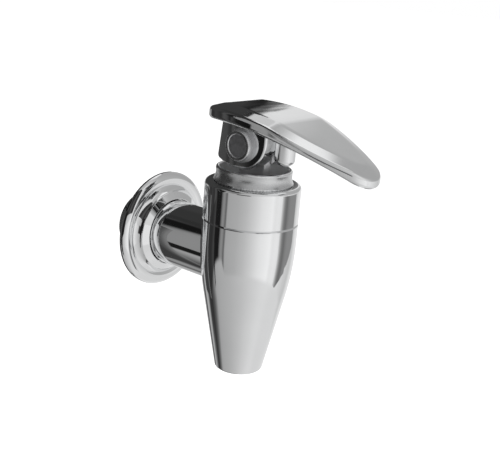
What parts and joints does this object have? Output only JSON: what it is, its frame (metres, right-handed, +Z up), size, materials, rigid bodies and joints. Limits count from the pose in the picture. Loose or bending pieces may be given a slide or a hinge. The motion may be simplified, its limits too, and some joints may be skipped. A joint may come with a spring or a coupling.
{
  "type": "bag in box tap",
  "caption": "Wall-fixed lever tap for drawing drinks from a bag-in-box line: chromed tapered body, screwed bonnet, leaf lever that lifts a sprung stem off its seat.",
  "frame": {"origin": "on the shank axis, in the plane of the wall that the rosette bears on", "axes": "+X away from the wall along the shank, +Z up along the body, +Y to the right of a person who faces the wall"},
  "size_m": [0.0958, 0.0404, 0.0887],
  "materials": {
    "chrome_body": "polished chrome plate on brass",
    "chrome_lever": "polished chrome plate on a casting",
    "chrome_pin": "polished chrome plate",
    "steel": "fine turned stainless steel",
    "dark_cap": "satin dark grey",
    "bush_plastic": "black acetal",
    "seal_rubber": "black nitrile rubber",
    "silicone": "milky silicone"
  },
  "bodies": {
    "root": {"body": "chrome_body", "bonnet": "chrome_body", "bonnet_o_ring": "seal_rubber", "guide_bush": "bush_plastic", "upper_stem_seal": "seal_rubber", "lower_stem_seal": "seal_rubber", "closing_spring": "steel", "shank": "chrome_body", "shank_o_ring": "seal_rubber", "rosette": "chrome_body", "rosette_gasket": "seal_rubber"},
    "stem": {"stem": "steel", "seat_washer": "silicone", "seat_retainer": "steel", "seat_screw": "steel"},
    "lever": {"lever": "chrome_lever", "pivot_pin": "chrome_pin", "pin_cap": "dark_cap", "pin_collar": "chrome_pin", "near_pivot_washer": "steel", "far_pivot_washer": "steel"}
  },
  "joints": [
    {"name": "stem_lift", "type": "slide", "parent": "root", "child": "stem", "axis": [0, 0, 1], "range_m": [0, 0.0028], "stiffness_N_per_m": 900, "springref_m": -0.009, "deforming": ["closing_spring"]},
    {"name": "lever_tilt", "type": "hinge", "parent": "stem", "child": "lever", "pos_m": [0.0392, 0, 0.0375], "axis": [0, 1, 0], "range_deg": [0, 28], "stiffness_Nm_per_rad": 0.05, "springref_deg": -17.19}
  ],
  "couplings": [
    {"joint": "stem_lift", "follows": "lever_tilt", "m_per_rad": 0.005729}
  ]
}
